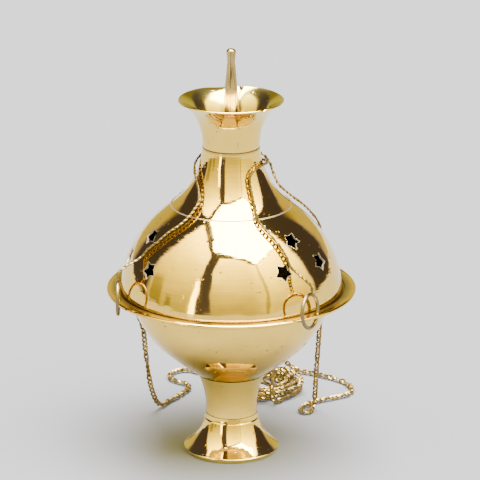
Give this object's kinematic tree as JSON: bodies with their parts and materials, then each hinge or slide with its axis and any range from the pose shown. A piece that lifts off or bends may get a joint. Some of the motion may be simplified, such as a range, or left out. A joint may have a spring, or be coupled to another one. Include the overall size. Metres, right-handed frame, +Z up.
{
  "type": "hanging incense burner",
  "caption": "Footed spun-brass censer: ringed bowl, pierced loose lid with a funnel mouth and spike, charcoal pan, and chains laid over the lid into a heap.",
  "frame": {"origin": "middle of the foot's rest ring, on the surface that it stands on", "axes": "+Z up along the burner's turned axis, towards the spike; -Y is the front, as pictured; the chains' heap lies behind, at +Y"},
  "size_m": [0.1536, 0.2091, 0.251],
  "materials": {
    "polished_brass": "hand-polished to a mirror, with faint spinning lines and a few pits",
    "plain_brass": "turned, unpolished, lightly tarnished",
    "sooted_brass": "darkened by charcoal",
    "chain_brass": "drawn wire, worn bright on the outside of the links and dark between them"
  },
  "bodies": {
    "root": {"foot": "polished_brass", "stem": "polished_brass", "bowl": "polished_brass", "tie_bolt": "plain_brass", "clamp_washer": "plain_brass", "tie_nut": "plain_brass", "right_chain_fall": "chain_brass", "left_chain_fall": "chain_brass", "back_chain_fall": "chain_brass", "back_chain_end": "chain_brass", "back_chain_heap": "chain_brass", "top_ring": "chain_brass"},
    "lid": {"lid_dome": "polished_brass", "lid_neck": "polished_brass", "mouth_funnel": "polished_brass", "spike_seat_plate": "plain_brass", "spike": "polished_brass", "spike_nut": "plain_brass", "right_chain_over_lid": "chain_brass", "left_chain_over_lid": "chain_brass"},
    "pan": {"charcoal_pan": "sooted_brass"},
    "right_ring_body": {"right_ring": "chain_brass"},
    "left_ring_body": {"left_ring": "chain_brass"},
    "back_ring_body": {"back_ring": "chain_brass"}
  },
  "joints": [
    {"name": "lid_lift", "type": "slide", "parent": "root", "child": "lid", "axis": [0, 0, 1], "range_m": [0, 0.02]},
    {"name": "pan_lift", "type": "slide", "parent": "root", "child": "pan", "axis": [0, 0, 1], "range_m": [0, 0.03]},
    {"name": "right_ring_swing", "type": "hinge", "parent": "root", "child": "right_ring_body", "pos_m": [0.05064, -0.04976, 0.10325], "axis": [-0.4699, -0.8827, 0], "range_deg": [-20, 20]},
    {"name": "left_ring_swing", "type": "hinge", "parent": "root", "child": "left_ring_body", "pos_m": [-0.06693, -0.0237, 0.10325], "axis": [0, -1, 0], "range_deg": [-20, 20]},
    {"name": "back_ring_swing", "type": "hinge", "parent": "root", "child": "back_ring_body", "pos_m": [0.01597, 0.06918, 0.10325], "axis": [0.999, -0.044, 0], "range_deg": [-15, 15]}
  ]
}
